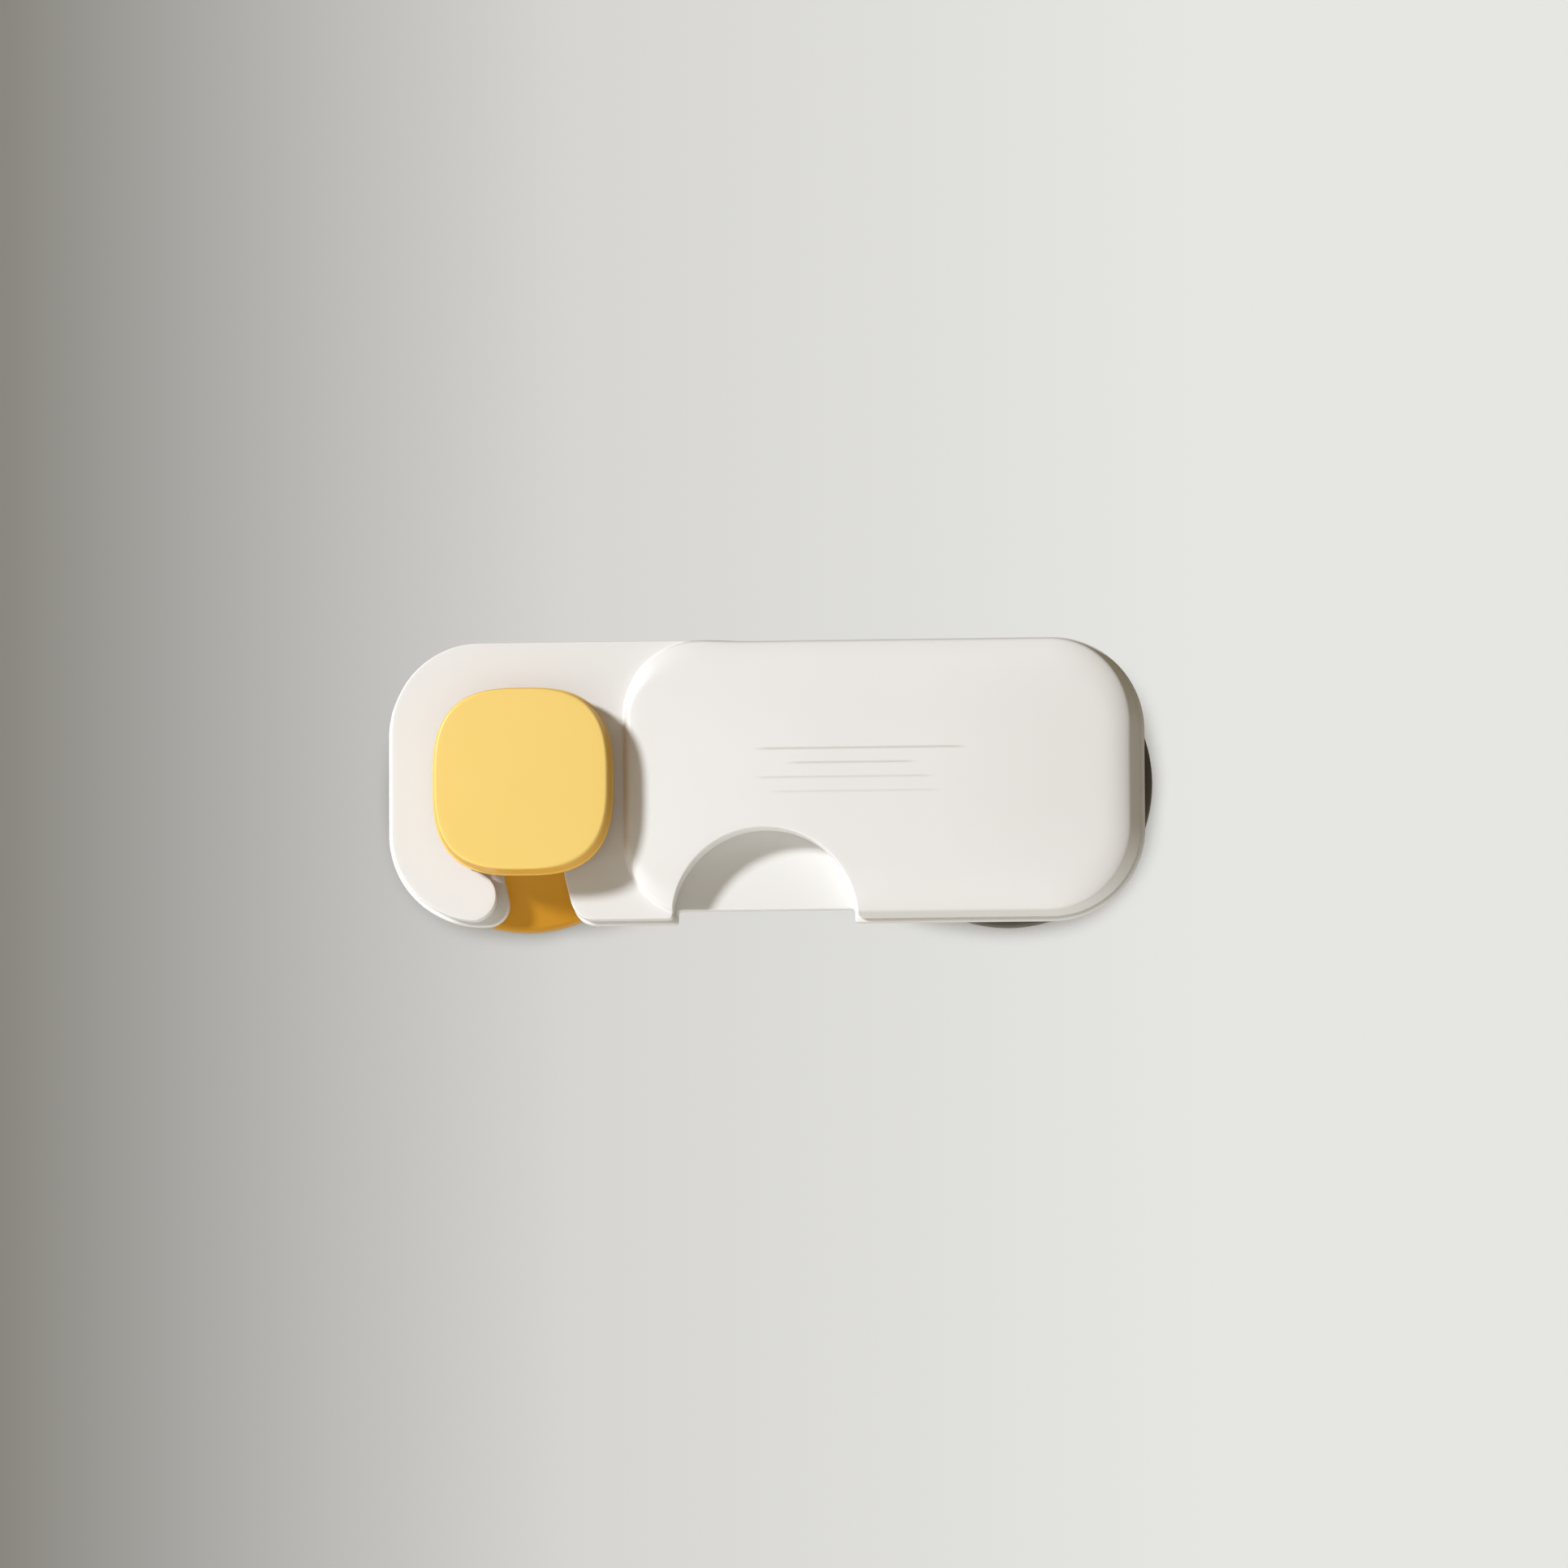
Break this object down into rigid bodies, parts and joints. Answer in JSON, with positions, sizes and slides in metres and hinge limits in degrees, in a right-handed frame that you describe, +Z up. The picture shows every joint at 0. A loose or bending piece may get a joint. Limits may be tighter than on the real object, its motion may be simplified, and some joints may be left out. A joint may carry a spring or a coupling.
{
  "type": "cabinet safety lock",
  "caption": "Child safety lock for a pair of doors: a hooked arm turns on one stick-on base and drops over the post of the other, released by a push button.",
  "frame": {"origin": "centre of the pivot base's adhesive face, on the door plane and on the arm's turning axis", "axes": "+Y into the door, front of the lock towards -Y; +X from the push button towards the pivot; +Z up"},
  "size_m": [0.119, 0.0181, 0.0453],
  "materials": {
    "white_plastic": "satin moulded, warm white",
    "yellow_plastic": "satin moulded, warm yellow",
    "amber_plastic": "satin moulded, amber",
    "grey_plastic": "satin moulded, warm grey",
    "natural_plastic": "smooth natural plastic",
    "adhesive_foam": "closed-cell foam tape",
    "spring_steel": "bright spring steel",
    "screw_steel": "zinc-plated steel",
    "brass": "turned brass"
  },
  "bodies": {
    "bases": {"catch_pad": "adhesive_foam", "catch_base": "amber_plastic", "latch_spring": "spring_steel", "latch_screws": "screw_steel", "pivot_pad": "adhesive_foam", "pivot_base": "grey_plastic", "glide_ring": "natural_plastic", "pivot_insert": "brass", "wave_washer": "spring_steel", "pivot_washer": "screw_steel", "pivot_screw": "screw_steel"},
    "arm": {"arm_back_plate": "white_plastic", "arm_cover": "white_plastic", "cover_screws": "screw_steel"},
    "button": {"button_cap": "yellow_plastic", "button_plunger": "natural_plastic", "button_pin": "screw_steel", "button_spring": "spring_steel"}
  },
  "joints": [
    {"name": "arm_swing", "type": "hinge", "parent": "bases", "child": "arm", "pos_m": [0, 0, 0], "axis": [0, 1, 0], "range_deg": [0, 100], "deforming": ["latch_spring"]},
    {"name": "button_press", "type": "slide", "parent": "bases", "child": "button", "axis": [0, 1, 0], "range_m": [0, 0.0022], "stiffness_N_per_m": 600, "springref_m": -0.002, "deforming": ["button_spring", "latch_spring"]}
  ]
}
